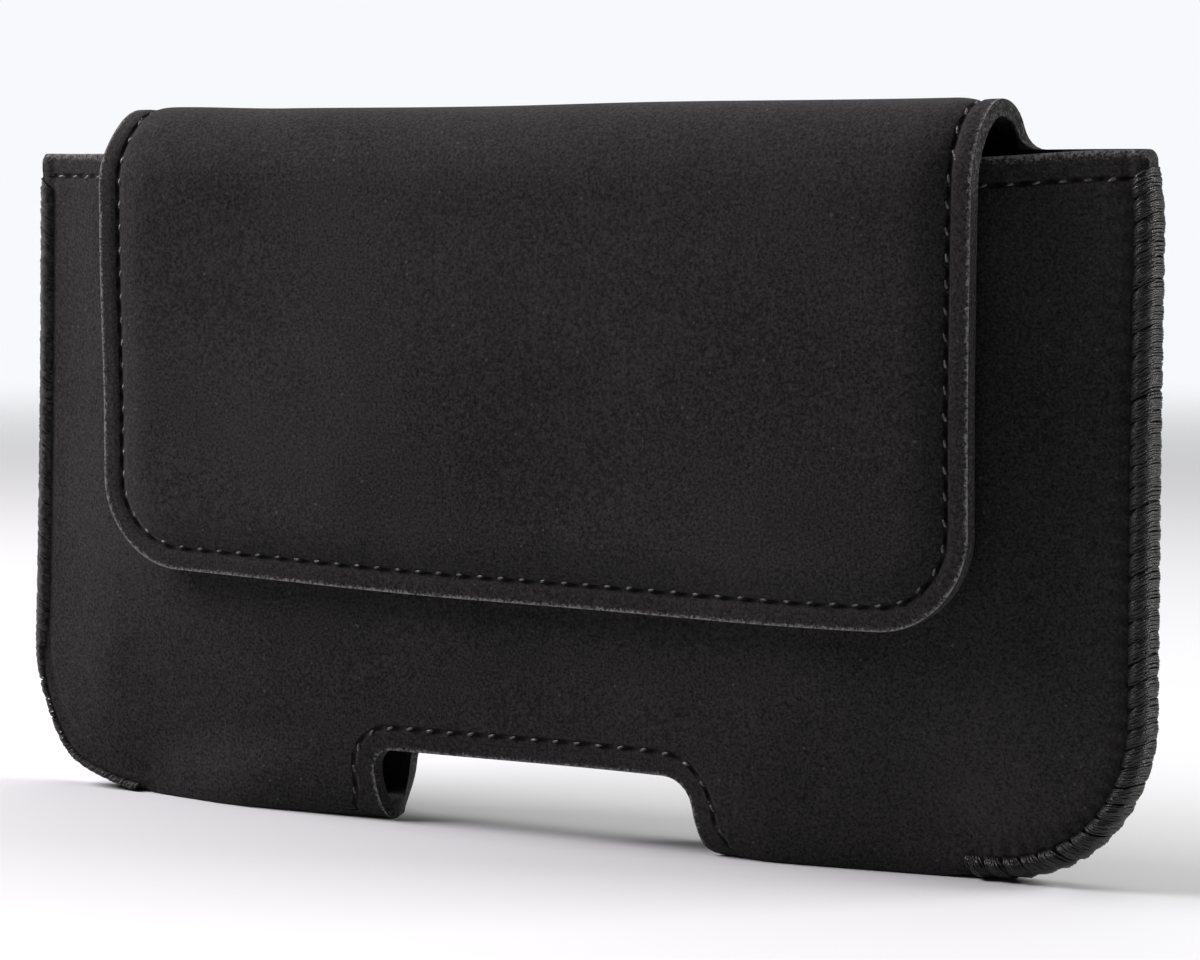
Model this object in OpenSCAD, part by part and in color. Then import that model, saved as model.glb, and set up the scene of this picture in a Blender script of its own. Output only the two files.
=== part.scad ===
// Horizontal leather belt pouch with an arched flap, a stitched edge and a cut-out under its middle.
// X runs across the pouch, the front looks along -Y, Z is up. It stands on its two bottom folds.

/* [Pouch] */
// Overall width across the stitched edges
body_w = 180; // [150:1:210]
// Height of the back panel
body_h = 95; // [80:1:115]
// How far the front panel's edge lies below the back panel's
mouth_drop = 0.8; // [0:0.1:3]
// Radius of the stitched bottom corners
corner_r = 22; // [18:0.5:32]
// Radius of the top corners of the panels
mouth_r = 1.5; // [1:0.1:5]
// How far the front panel stands out from the seam
front_bulge = 8.2; // [6:0.1:12]
// How far the back panel stands out from the seam
back_bulge = 6.6; // [5:0.1:10]
// How much the front panel draws in at its mouth and its fold
front_crown = 1.2; // [0:0.1:2]
// Width over which the front panel rises from the seam
front_roll = 40; // [30:1:60]
// Width over which the back panel rises from the seam
back_roll = 30; // [20:1:32]
// Height of the rounded bottom fold
fold_h = 6.5; // [5:0.1:9]
// Depth of the flat that the folds stand on
foot_d = 8.8; // [5:0.1:9.6]
// How far the middle of that flat lies in front of the seam
foot_shift = 0.8; // [0:0.1:1]

/* [Leather] */
// Thickness of the outer leather
leather_t = 1.4; // [1:0.1:2]
// Thickness of the lining
lining_t = 0.8; // [0.6:0.1:1.2]

/* [Notch] */
// Width of the cut-out between the two folds
notch_w = 50.7; // [35:0.1:70]
// Height of the cut-out
notch_h = 10.6; // [8:0.1:16]
// Radius in the cut-out's upper corners
notch_r = 3.5; // [1:0.1:6]
// Radius that opens the cut-out at the folds
notch_flare = 2; // [1:0.1:6]

/* [Flap] */
// Width of the flap
flap_w = 137.5; // [110:0.5:144]
// Height of the flap's lower edge
flap_z = 33.5; // [22:0.5:45]
// Radius of the flap's lower corners
flap_r = 13; // [6:0.5:20]
// Rise of the arch over the back panel's edge
arch_rise = 6.5; // [6:0.1:10]
// Height of the arch's front half
arch_front_h = 11.5; // [11:0.1:16]
// How far the crest lies in front of the seam
crest_y = 2.3; // [1:0.1:3.5]
// Radius between the back panel's edge and the flap's side
root_r = 3; // [1:0.1:6]
// Slit between the two halves of the arch
slit = 0.3; // [0.2:0.05:0.5]
// Space between the flap and the front panel
flap_gap = 0.4; // [0.3:0.1:1]
// Width of the flat margin outside the flap's stitches
flap_margin = 4; // [3:0.1:8]
// Thickness of the stiffener between the flap's layers
stiffener_t = 0.8; // [0.5:0.1:1.2]

/* [Closure] */
// Diameter of the magnets and keeper plates
magnet_d = 13; // [8:0.5:18]
// Distance of a magnet's middle from the flap's side
magnet_in = 30.75; // [28:0.25:40]
// Height of the magnets over the flap's lower edge
magnet_up = 18.5; // [18:0.5:26]
// Thickness of the keeper plates
keeper_t = 0.5; // [0.3:0.1:0.5]

/* [Edge stitching] */
// Distance from one edge stitch to the next
stitch_pitch = 2.8; // [2:0.1:4]
// Width of the stitches on the panels
stitch_w = 2.8; // [2:0.1:4]
// Thickness of the thread round the edge
thread_t = 0.45; // [0.3:0.05:0.7]
// How far each stitch leans
stitch_lean = 0.9; // [0:0.1:1.5]

/* [Belt loops] */
// Width of a belt loop
loop_w = 26; // [15:1:32]
// Distance of a belt loop from the middle
loop_x = 30; // [20:1:32]
// Height of a belt loop's lower edge
loop_z = 23; // [23:0.5:28]
// Length of a belt loop from end to end
loop_l = 64; // [56:0.5:66]
// Length of the sewn tab at each end
loop_tab = 7; // [5:0.5:9]
// Room for the belt's thickness
loop_gap = 5; // [4.5:0.1:8]
// Thickness of a belt loop's leather
loop_t = 2; // [1.4:0.1:3]

/* [Hidden] */
$fn = 48;

fit = 0.05;
half_w = body_w / 2 - thread_t;
edge_h = leather_t + lining_t + fit;
arc_r = corner_r - thread_t;
arc_x = half_w - arc_r;
arc_z = arc_r + thread_t + 0.3;
crest_z = body_h + arch_rise;
front_top = body_h - mouth_drop;
spring_z = crest_z - arch_front_h;
flap_in = front_bulge + flap_gap;
flap_t = leather_t + lining_t;
flap_out = flap_in + flap_t;
loop_out = back_bulge + fit + loop_gap + loop_t;
magnet_x = flap_w / 2 - magnet_in;
magnet_z = flap_z + magnet_up;
shift_y = (flap_out + stiffener_t - loop_out) / 2;
big = 200;

function clamp01(t) = max(0, min(1, t));
function smooth(t) = let (c = clamp01(t)) c * c * (3 - 2 * c);

// distance from the stitched edge, along the sides and round the bottom corners
function edge_dist(x, z) = let (a = abs(x))
    a > arc_x && z < arc_z ? arc_r - norm([a - arc_x, arc_z - z])
    : a > arc_x ? half_w - a
    : min(half_w - a, norm([arc_x - a, max(0, z - arc_z + arc_r)]));

// how far a panel has risen from the seam
function rise(d, roll) = pow(sin(90 * clamp01(d / roll)), 1.5);
function front_h(x, z) = let (mid = body_h / 2, m = front_bulge - front_crown * pow((z - mid) / mid, 2))
    edge_h + (m - edge_h) * rise(edge_dist(x, z), front_roll);
function back_h(x, z) = edge_h + (back_bulge - edge_h) * rise(edge_dist(x, z), back_roll);

// the fold opens from the end of the stitched edge to the middle
function opened(x) = smooth((arc_x - abs(x)) / 26);
function bottom_z(x) = let (a = abs(x))
    a > arc_x ? arc_z - sqrt(max(0, arc_r * arc_r - pow(a - arc_x, 2)))
    : (arc_z - arc_r) * (1 - smooth((arc_x - a) / 9));
function fold_at(x) = edge_h + 0.4 + (fold_h - edge_h - 0.4) * opened(x);
function flat_at(x, h, s) = min(0.76 * max(h, 0),
    1 + (foot_d / 2 - s * foot_shift - 1) * smooth((arc_x - abs(x)) / 12));

// one point of the folded sheet, set in from its outer face
fold_n = 6;
wall_n = 9;
arch_n = 8;
function fold_pt(x, a, s, inset) = let (r = fold_at(x), z = bottom_z(x) + r * (1 - cos(a)),
    h = (s < 0 ? front_h(x, z) : back_h(x, z)) - inset, f = flat_at(x, h, s))
    [x, s * (f + (h - f) * sin(a)), bottom_z(x) + inset + (r - inset) * (1 - cos(a))];
function wall_pt(x, t, s, inset, top) = let (z0 = bottom_z(x) + fold_at(x), z = z0 + (top - z0) * t,
    h = (s < 0 ? front_h(x, z) : back_h(x, z)) - inset)
    [x, s * h, z];
function arch_pt(x, a, inset) = let (c = slit / 2 - crest_y, h = back_h(x, body_h) - inset)
    [x, c + (h - c) * cos(a), body_h + (arch_rise - inset) * sin(a)];
function ring(x, inset) = [
    for (k = [wall_n:-1:1]) wall_pt(x, k / wall_n, -1, inset, front_top),
    for (k = [fold_n:-1:0]) fold_pt(x, 90 * k / fold_n, -1, inset),
    for (k = [0:fold_n]) fold_pt(x, 90 * k / fold_n, 1, inset),
    for (k = [1:wall_n]) wall_pt(x, k / wall_n, 1, inset, body_h),
    for (k = [1:arch_n]) arch_pt(x, 90 * k / arch_n, inset)];

// places across the pouch, closer together round the corners
side_x = [for (k = [0:9]) arc_x + arc_r * cos(9 * k)];
half_x = concat(side_x, [for (k = [1:11]) arc_x * (1 - k / 11)]);
all_x = concat([for (x = half_x) -x], [for (k = [len(half_x) - 2:-1:0]) half_x[k]]);

// the leather or lining, cut as one sheet and folded under the pouch
module folded_sheet(inset, t) {
    outer = [for (x = all_x) ring(x, inset)];
    inner = [for (x = all_x) ring(x, inset + t)];
    n = len(all_x);
    m = len(outer[0]);
    pts = concat([for (r = outer) for (p = r) p], [for (r = inner) for (p = r) p]);
    function o(i, j) = i * m + j;
    function q(i, j) = n * m + i * m + j;
    faces = concat(
        [for (i = [0:n - 2]) for (j = [0:m - 2]) each [[o(i, j), o(i, j + 1), o(i + 1, j)],
            [o(i + 1, j), o(i, j + 1), o(i + 1, j + 1)]]],
        [for (i = [0:n - 2]) for (j = [0:m - 2]) each [[q(i, j), q(i + 1, j), q(i, j + 1)],
            [q(i + 1, j), q(i + 1, j + 1), q(i, j + 1)]]],
        [for (i = [0:n - 2]) for (j = [0, m - 1]) each j == 0
            ? [[o(i, j), o(i + 1, j), q(i, j)], [q(i, j), o(i + 1, j), q(i + 1, j)]]
            : [[o(i, j), q(i, j), o(i + 1, j)], [q(i, j), q(i + 1, j), o(i + 1, j)]]],
        [for (j = [0:m - 2]) for (i = [0, n - 1]) each i == 0
            ? [[o(i, j), q(i, j), o(i, j + 1)], [q(i, j), q(i, j + 1), o(i, j + 1)]]
            : [[o(i, j), o(i, j + 1), q(i, j)], [q(i, j), o(i, j + 1), q(i, j + 1)]]]);
    polyhedron(points = pts, faces = faces, convexity = 6);
}

// an outline drawn across X and Z, pushed through the pouch
module through() rotate([90, 0, 0]) translate([0, 0, -big / 2]) linear_extrude(big) children();

// a profile drawn across Y and Z, pushed along the flap
module along(w) rotate([90, 0, 90]) translate([0, 0, -w / 2]) linear_extrude(w) children();

function arc(cx, cz, r, a0, a1, n) = [for (k = [0:n]) let (a = a0 + (a1 - a0) * k / n)
    [cx + r * cos(a), cz + r * sin(a)]];

// what the pattern leaves out beside the flap, right half
module shoulder() polygon(concat(
    [[half_w + 5, body_h - mouth_r]],
    arc(half_w - mouth_r, body_h - mouth_r, mouth_r, 0, 90, 6),
    arc(flap_w / 2 + root_r, body_h + root_r, root_r, 270, 180, 6),
    [[flap_w / 2, crest_z + 5], [half_w + 5, crest_z + 5]]));

module front_corner() polygon(concat(
    [[half_w + 5, front_top - mouth_r]],
    arc(half_w - mouth_r, front_top - mouth_r, mouth_r, 0, 90, 6),
    [[half_w - mouth_r, front_top + 5], [half_w + 5, front_top + 5]]));

module notch() polygon(concat(
    arc(notch_w / 2 + notch_flare, notch_flare, notch_flare, 270, 180, 6),
    arc(notch_w / 2 - notch_r, notch_h - notch_r, notch_r, 0, 90, 6),
    arc(notch_r - notch_w / 2, notch_h - notch_r, notch_r, 90, 180, 6),
    arc(-notch_w / 2 - notch_flare, notch_flare, notch_flare, 0, -90, 6),
    [[-notch_w / 2 - notch_flare, -5], [notch_w / 2 + notch_flare, -5]]));

module cut_sheet(inset, t) difference() {
    folded_sheet(inset, t);
    through() notch();
    through() shoulder();
    through() mirror([1, 0, 0]) shoulder();
}

module placed() translate([0, shift_y, 0]) children();

// a keeper plate lies flat against the lowest part of the front leather over it
keeper_h = min([for (a = [0:30:330], k = [0, 1])
    front_h(magnet_x + k * magnet_d / 2 * cos(a), magnet_z + k * magnet_d / 2 * sin(a))]);
keeper_y = -keeper_h + leather_t + keeper_t;

module disc(x, y, d, t) translate([x, y, magnet_z]) rotate([90, 0, 0]) cylinder(d = d, h = t, center = true);

// edge stitches: slanting ribs over a thread strip that wraps the cut edge
edge_run = front_top - mouth_r - arc_z;
arc_run = arc_r * PI / 2;
stitch_count = floor((edge_run + arc_run - 1) / stitch_pitch);
function turn_at(s) = s < edge_run ? 0 : min(90, (s - edge_run) / arc_r * 180 / PI);
module at_edge(s) {
    a = turn_at(s);
    translate([arc_x, arc_z]) rotate(-a) translate([arc_r, s < edge_run ? edge_run - s : 0]) children();
}
module stitch_outline() polygon([
    [thread_t * 0.4, stitch_pitch * 0.46], [thread_t, stitch_pitch * 0.2], [thread_t, -stitch_pitch * 0.2],
    [thread_t * 0.4, -stitch_pitch * 0.46], [-stitch_w + 0.5, -stitch_pitch * 0.42 - stitch_lean],
    [-stitch_w, -stitch_pitch * 0.2 - stitch_lean], [-stitch_w, stitch_pitch * 0.16 - stitch_lean],
    [-stitch_w + 0.5, stitch_pitch * 0.42 - stitch_lean]]);
module strip_outline() {
    inner = stitch_w - 0.7;
    outer = thread_t * 0.5;
    translate([half_w - inner, arc_z]) square([inner + outer, edge_run]);
    translate([arc_x, arc_z]) intersection() {
        difference() {
            circle(r = arc_r + outer);
            circle(r = arc_r - inner);
        }
        translate([0, -big]) square([big, big]);
    }
}
function seam_half(n) = edge_h + (front_bulge - edge_h) * rise(n, front_roll);
module seam_core() {
    n = stitch_w + 1;
    prof = [[arc_r + fit, -seam_half(0) - fit], [arc_r - n, -seam_half(n) - fit],
        [arc_r - n, seam_half(n) + fit], [arc_r + fit, seam_half(0) + fit]];
    translate([arc_x, 0, arc_z]) {
        linear_extrude(big) polygon(prof);
        rotate([90, 0, 0]) rotate_extrude(angle = -91) polygon(prof);
    }
}
module edge_stitching() difference() {
    union() {
        rotate([90, 0, 0]) linear_extrude(2 * (edge_h + thread_t), center = true) union() {
            for (k = [0:stitch_count - 1]) at_edge((k + 0.7) * stitch_pitch) stitch_outline();
        }
        rotate([90, 0, 0]) linear_extrude(2 * (edge_h + thread_t * 0.6), center = true) strip_outline();
    }
    seam_core();
}

// the flap's layers: an arch over the mouth and a hanging front
function flap_line(inset) = let (y0 = -crest_y - slit / 2, y1 = inset - flap_out) concat(
    [for (k = [0:12]) let (a = 90 * k / 12)
        [y0 + (y1 - y0) * sin(a), spring_z + (arch_front_h - inset) * cos(a)]],
    [[y1, flap_z - 1]]);
module flap_layer(a, b) along(flap_w + 2) polygon(concat(flap_line(a),
    [for (k = [13:-1:0]) flap_line(b)[k]]));
module flap_outline(in = 0, top = 200) let (w = flap_w / 2 - in, r = flap_r - in * 0.6)
    polygon(concat([[w, top], [-w, top]],
        arc(r - w, flap_z + in + r, r, 180, 270, 8), arc(w - r, flap_z + in + r, r, 270, 360, 8)));
field_top = spring_z - 2;
module field_block(in, y0, y1) rotate([90, 0, 0]) translate([0, 0, -y1]) linear_extrude(y1 - y0)
    flap_outline(in, field_top - in + flap_margin);

// a strap sewn on at both ends, with room for the belt behind it
function loop_line(inset) = let (b = back_bulge + fit, h = loop_gap + loop_t, t = inset)
    [for (k = [0:8]) let (s = k / 8) [b + loop_t - t + (h - loop_t) * smooth(s),
        loop_z + loop_tab + 9 * s + t * 0.6]];
module belt_loop() {
    mid = loop_z + loop_l / 2;
    low = loop_line(0);
    in = loop_line(loop_t);
    b = back_bulge + fit;
    up = [for (k = [len(low) - 1:-1:0]) [low[k][0], 2 * mid - low[k][1]]];
    up_in = [for (k = [0:len(in) - 1]) [in[k][0], 2 * mid - in[k][1]]];
    translate([loop_x, 0, 0]) intersection() {
        along(loop_w) polygon(concat([[b, loop_z], [b + loop_t, loop_z]], low, up,
            [[b + loop_t, 2 * mid - loop_z], [b, 2 * mid - loop_z]], up_in,
            [for (k = [len(in) - 1:-1:0]) in[k]]));
        through() hull() for (x = [-1, 1], z = [-1, 1])
            translate([x * (loop_w / 2 - 2), mid + z * (loop_l / 2 - 2)]) circle(r = 2);
    }
}

module outer_shell() color("#242223") placed() difference() {
    cut_sheet(0, leather_t);
    for (s = [0, 1]) mirror([s, 0, 0]) rotate([90, 0, 0]) linear_extrude(big / 2) front_corner();
}
module shell_lining() color("#3a3a3c") placed() difference() {
    cut_sheet(leather_t, lining_t);
    for (s = [0, 1]) mirror([s, 0, 0]) rotate([90, 0, 0]) linear_extrude(big / 2) front_corner();
    for (s = [-1, 1]) disc(s * magnet_x, keeper_y - 2, magnet_d + 0.2, 4);
}
module edge_stitching_right() color("#141414") placed() edge_stitching();
module edge_stitching_left() color("#141414") placed() mirror([1, 0, 0]) edge_stitching();
module belt_loop_right() color("#242223") placed() belt_loop();
module belt_loop_left() color("#242223") placed() mirror([1, 0, 0]) belt_loop();
module keeper(s) color("#9a9a9c") placed()
    disc(s * magnet_x, keeper_y - (keeper_t - fit) / 2, magnet_d, keeper_t - fit);
module keeper_plate_left() keeper(-1);
module keeper_plate_right() keeper(1);

module flap_outer() color("#242223") placed() difference() {
    union() {
        intersection() {
            flap_layer(0, leather_t);
            through() flap_outline();
        }
        field_block(flap_margin, -flap_out - stiffener_t, -flap_out + 0.2);
    }
    field_block(flap_margin + 1, -flap_out + leather_t - stiffener_t, -flap_out + leather_t + 1);
}
module flap_lining() color("#2b292a") placed() intersection() {
    flap_layer(leather_t, flap_t);
    through() flap_outline();
}
module flap_stiffener() color("#6b6259") placed() difference() {
    field_block(flap_margin + 1.2, -flap_out + leather_t - stiffener_t + fit, -flap_out + leather_t - fit);
    for (s = [-1, 1]) disc(s * magnet_x, -flap_out + leather_t, magnet_d + 0.3, 4);
}
module flap_magnet(s) color("#b4b4b6") placed()
    disc(s * magnet_x, -flap_out + leather_t - stiffener_t / 2, magnet_d, stiffener_t - 2 * fit);
module flap_magnet_left() flap_magnet(-1);
module flap_magnet_right() flap_magnet(1);

outer_shell();
shell_lining();
edge_stitching_left();
edge_stitching_right();
belt_loop_left();
belt_loop_right();
keeper_plate_left();
keeper_plate_right();
flap_outer();
flap_lining();
flap_stiffener();
flap_magnet_left();
flap_magnet_right();
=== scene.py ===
# Leather belt pouch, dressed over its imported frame. Sizes in the dictionaries are millimetres.
import math
import random

import bpy
import numpy as np
from mathutils import Matrix, Vector


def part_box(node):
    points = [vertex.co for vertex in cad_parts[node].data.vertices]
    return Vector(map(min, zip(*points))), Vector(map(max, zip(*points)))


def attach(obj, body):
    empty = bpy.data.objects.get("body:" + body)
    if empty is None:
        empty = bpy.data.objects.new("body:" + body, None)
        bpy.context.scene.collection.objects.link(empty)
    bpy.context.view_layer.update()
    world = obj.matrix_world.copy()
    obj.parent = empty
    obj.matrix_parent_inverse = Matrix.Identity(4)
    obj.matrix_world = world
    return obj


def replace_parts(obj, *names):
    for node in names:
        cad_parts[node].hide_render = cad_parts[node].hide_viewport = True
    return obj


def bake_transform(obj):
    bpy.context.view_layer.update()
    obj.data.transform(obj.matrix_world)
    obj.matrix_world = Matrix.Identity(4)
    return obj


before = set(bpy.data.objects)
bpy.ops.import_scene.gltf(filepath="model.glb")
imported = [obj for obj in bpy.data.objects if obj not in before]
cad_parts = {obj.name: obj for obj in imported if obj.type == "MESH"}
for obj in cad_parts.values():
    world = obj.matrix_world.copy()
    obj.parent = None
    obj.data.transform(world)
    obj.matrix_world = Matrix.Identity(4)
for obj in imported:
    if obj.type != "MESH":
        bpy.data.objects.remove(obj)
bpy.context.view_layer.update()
mm = 0.001
dice = random.Random(41)

# camera first: fitted to points of the photograph
view = {"place": (244.9, -418.05, 92.15), "yaw": 29.56, "pitch": 5.06, "lens": 104.64}


def makeCamera():
    yaw, pitch = math.radians(view["yaw"]), math.radians(view["pitch"])
    back = Vector((math.sin(yaw) * math.cos(pitch), -math.cos(yaw) * math.cos(pitch), math.sin(pitch)))
    bpy.ops.object.camera_add(location=[v * mm for v in view["place"]])
    camera = bpy.context.object
    camera.name = "camera"
    camera.rotation_euler = (-back).to_track_quat("-Z", "Y").to_euler()
    camera.data.sensor_width = 36
    camera.data.sensor_fit = "HORIZONTAL"
    camera.data.lens = view["lens"]
    camera.data.clip_start, camera.data.clip_end = 0.01, 20
    camera.data.dof.use_dof = False
    bpy.context.scene.camera = camera
    print("camera set")


# shader helpers: a Wire is one output socket, and takes plain arithmetic
class Wire:
    def __init__(self, finish, socket):
        self.finish, self.socket = finish, socket

    def maths(self, kind, *values):
        return self.finish.add("ShaderNodeMath", {"operation": kind}, dict(enumerate(values)))

    def __add__(self, other):
        return self.maths("ADD", self, other)

    def __sub__(self, other):
        return self.maths("SUBTRACT", self, other)

    def __rsub__(self, other):
        return self.maths("SUBTRACT", other, self)

    def __mul__(self, other):
        return self.maths("MULTIPLY", self, other)

    __radd__, __rmul__ = __add__, __mul__


class Finish:
    def __init__(self, name):
        self.material = bpy.data.materials.new(name)
        self.material.use_nodes = True
        self.tree = self.material.node_tree
        self.tree.nodes.clear()
        self.out = self.tree.nodes.new("ShaderNodeOutputMaterial")

    def add(self, kind, settings=None, inputs=None, out=0):
        node = self.tree.nodes.new(kind)
        for key, value in (settings or {}).items():
            setattr(node, key, value)
        for key, value in (inputs or {}).items():
            if isinstance(value, Wire):
                self.tree.links.new(value.socket, node.inputs[key])
            else:
                node.inputs[key].default_value = value
        return Wire(self, node.outputs[out])

    def place(self, stretch=(1, 1, 1)):
        point = self.add("ShaderNodeTexCoord", out="Object")
        return self.add("ShaderNodeMapping", None, {"Vector": point, "Scale": stretch})

    def noise(self, scale, detail=3.0, rough=0.55, stretch=(1, 1, 1)):
        return self.add("ShaderNodeTexNoise", None,
                        {"Vector": self.place(stretch), "Scale": scale, "Detail": detail, "Roughness": rough})

    def cells(self, scale):
        return self.add("ShaderNodeTexVoronoi", None, {"Vector": self.place(), "Scale": scale})

    def fade(self, value, low, high, start=0.0, end=1.0):
        return self.add("ShaderNodeMapRange", {"interpolation_type": "SMOOTHSTEP"},
                        {0: value, 1: low, 2: high, 3: start, 4: end})

    def blend(self, factor, first, second):
        ends = {key: value if isinstance(value, Wire) else (*value, 1)
                for key, value in ((6, first), (7, second))}
        return self.add("ShaderNodeMix", {"data_type": "RGBA"}, {0: factor, **ends}, out=2)

    def bump(self, height, distance, strength=1.0):
        return self.add("ShaderNodeBump", None,
                        {"Height": height, "Distance": distance, "Strength": strength})

    def parts(self, label):
        point = self.add("ShaderNodeUVMap", {"uv_map": label})
        return [self.add("ShaderNodeSeparateXYZ", None, {0: point}, out=k) for k in (0, 1)]

    def surface(self, fixed, linked):
        node = self.add("ShaderNodeBsdfPrincipled", None, {**fixed, **linked})
        self.tree.links.new(node.socket, self.out.inputs["Surface"])
        return self.material


# how seams and cuts mark the leather: pairs are the millimetres over which a mark fades,
# shares say how much painted shade (or, at the rims, pale fuzz and painted highlight) a mark lays on, shades
# scale the dark colour of the painted shade, and depths are shares of the bump
marks = {"seam": (0.15, 0.55), "seamShadeShare": 0.25, "seamDepth": 0.6, "holeDepth": 2.4, "holeShade": 0.15,
         "ribsIn": (1.9, 2.8), "ribsOut": (2.6, 7.5), "ribShadeShare": 0.45, "ribHeight": 1.5,
         "grooveIn": (1.2, 2.0), "grooveOut": (2.2, 3.0), "grooveShadeShare": 0.85, "grooveShade": 0.3,
         "rim": (1.15, 1.8), "rimFuzzHighlightShare": 0.85, "fuzz": 2.6, "rimFuzzHighlightColour": (0.2, 0.196, 0.2)}


def waves(along, kind):
    return along.maths(kind, along * (2 * math.pi)) * 0.5 + 0.5


def markSeams(finish, colour, height, dark):
    # stitch holes, and between them the line that the thread pulls down: both are sunk in the bump and
    # darkened with painted shade
    along, off = finish.parts("seamMap")
    near = finish.fade(off.maths("ABSOLUTE", off), *marks["seam"], 1.0, 0.0)
    holes = waves(along, "COSINE")
    # painted shade: darkest in the holes, lighter along the line between them
    shade = near * (holes * (1 - marks["seamShadeShare"]) + marks["seamShadeShare"])
    colour = finish.blend(shade, colour, [c * marks["holeShade"] for c in dark])
    return colour, height - near * (holes * marks["holeDepth"] + marks["seamDepth"])


def markEdges(finish, colour, height, dark):
    # the ribs that the whipped thread presses in, with painted shade between them, and the groove right
    # beside it, darkened with painted shade
    along, depth = finish.parts("edgeMap")
    near = finish.fade(depth, *marks["ribsOut"], 1.0, 0.0) * finish.fade(depth, *marks["ribsIn"])
    ribs = waves(along, "SINE")
    height = height + near * ribs * marks["ribHeight"]
    # painted shade in the hollows between the ribs
    colour = finish.blend(near * ribs * marks["ribShadeShare"], colour, dark)
    # painted shade in the groove beside the edge thread
    groove = finish.fade(depth, *marks["grooveOut"], marks["grooveShadeShare"], 0.0)
    groove = groove * finish.fade(depth, *marks["grooveIn"])
    return finish.blend(groove, colour, [c * marks["grooveShade"] for c in dark]), height


def markRimFuzzAndHighlight(finish, colour):
    # pale fuzz along the cut edges, lightened beyond the fibres' own colour as a painted highlight where the
    # arris catches the light
    rim, fuzz = finish.parts("rimMap")[0], finish.noise(2400, 4, 0.75)
    # the pale band is partly the cut fibres' own colour and partly a painted highlight
    pale = finish.fade(rim + fuzz * marks["fuzz"], *marks["rim"], marks["rimFuzzHighlightShare"], 0.0)
    return finish.blend(pale, colour, marks["rimFuzzHighlightColour"])


def nubuck(name, dark, light, mapped=True):
    finish = Finish(name)
    cloud, nap, grain = finish.noise(24, 4, 0.6), finish.noise(430, 4, 0.62), finish.noise(2500, 3, 0.75)
    pores = finish.cells(1500)
    specks = finish.fade(finish.cells(640), 0.06, 0.2, 1.0, 0.0) * finish.fade(finish.noise(900), 0.54, 0.64)
    tone = finish.fade(cloud * 0.22 + nap * 0.08 + grain * 0.75, 0.35, 0.73)
    colour = finish.blend(tone, dark, light)
    colour = finish.blend(specks * 0.4, colour, [c * 3 for c in light])
    height = grain * 0.8 + pores * 0.3 + nap * 0.08
    # the marks lay painted shade in the stitch holes, the edge ribs and the groove, and pale fuzz with a
    # painted highlight along the cut edges
    if mapped:
        colour, height = markSeams(finish, colour, height, dark)
        colour, height = markEdges(finish, colour, height, dark)
        colour = markRimFuzzAndHighlight(finish, colour)
    return finish.surface({"Specular IOR Level": 0.1, "Sheen Weight": 0.06, "Sheen Roughness": 0.35},
                          {"Base Color": colour, "Roughness": finish.fade(nap, 0.3, 0.7, 0.8, 0.95),
                           "Normal": finish.bump(height, 0.00016, 0.8)})


def rawEdge():
    finish = Finish("raw_leather_edge")
    fibre = finish.noise(2100, 5, 0.78)
    colour = finish.blend(finish.fade(fibre, 0.44, 0.66), (0.003, 0.003, 0.003), (0.085, 0.083, 0.084))
    return finish.surface({"Specular IOR Level": 0.1, "Sheen Weight": 0.05},
                          {"Base Color": colour, "Roughness": finish.fade(fibre, 0.3, 0.7, 0.75, 0.95),
                           "Normal": finish.bump(fibre, 0.0002)})


def threadFinish(name, dark, light, rough, gloss):
    finish = Finish(name)
    strands, fine = finish.noise(1300, 3, 0.6), finish.noise(5200, 2, 0.5)
    colour = finish.blend(finish.fade(strands, 0.35, 0.65), dark, light)
    return finish.surface({"Specular IOR Level": gloss, "Sheen Weight": 0.05, "Sheen Roughness": 0.35},
                          {"Base Color": colour, "Roughness": finish.fade(fine, 0.3, 0.7, rough, rough + 0.2),
                           "Normal": finish.bump(strands + fine * 0.6, 0.00012)})


def microfibre():
    finish = Finish("grey_microfibre_in_painted_shade")
    pile, brushed = finish.noise(2400, 4, 0.7), finish.noise(160, 3, 0.6, (1, 1, 0.3))
    tone = finish.fade(pile * 0.6 + brushed * 0.5, 0.35, 0.75)
    # the grey lining is set near black: painted shade inside the pocket and the folds
    colour = finish.blend(tone, (0.002, 0.002, 0.0021), (0.009, 0.009, 0.0095))
    return finish.surface({"Specular IOR Level": 0.1, "Sheen Weight": 0.15, "Sheen Roughness": 0.5},
                          {"Base Color": colour, "Roughness": finish.fade(pile, 0.3, 0.7, 0.85, 1.0),
                           "Normal": finish.bump(pile, 0.0003)})


def metal(name, dark, light):
    finish = Finish(name)
    brushed = finish.noise(300, 3, 0.6, (12, 1, 1))
    return finish.surface({"Metallic": 1.0}, {"Base Color": finish.blend(brushed, dark, light),
                                              "Roughness": finish.fade(brushed, 0.3, 0.7, 0.25, 0.4)})


def fibreBoard():
    finish = Finish("fibre_board")
    flecks = finish.noise(700, 5, 0.7, (1, 1, 3))
    colour = finish.blend(finish.fade(flecks, 0.3, 0.7), (0.16, 0.13, 0.11), (0.3, 0.26, 0.22))
    return finish.surface({}, {"Base Color": colour, "Roughness": finish.fade(flecks, 0.3, 0.7, 0.8, 0.95),
                               "Normal": finish.bump(flecks, 0.0002)})


# small helpers for the objects
def pick(*objects):
    if bpy.context.mode != "OBJECT":
        bpy.ops.object.mode_set(mode="OBJECT")
    bpy.ops.object.select_all(action="DESELECT")
    for obj in objects:
        obj.select_set(True)
    bpy.context.view_layer.objects.active = objects[0]


def applyAll(obj):
    pick(obj)
    for modifier in list(obj.modifiers):
        bpy.ops.object.modifier_apply(modifier=modifier.name)


def setPoints(obj, points):
    obj.data.vertices.foreach_set("co", np.asarray(points, np.float32).ravel())
    obj.data.update()


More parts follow.
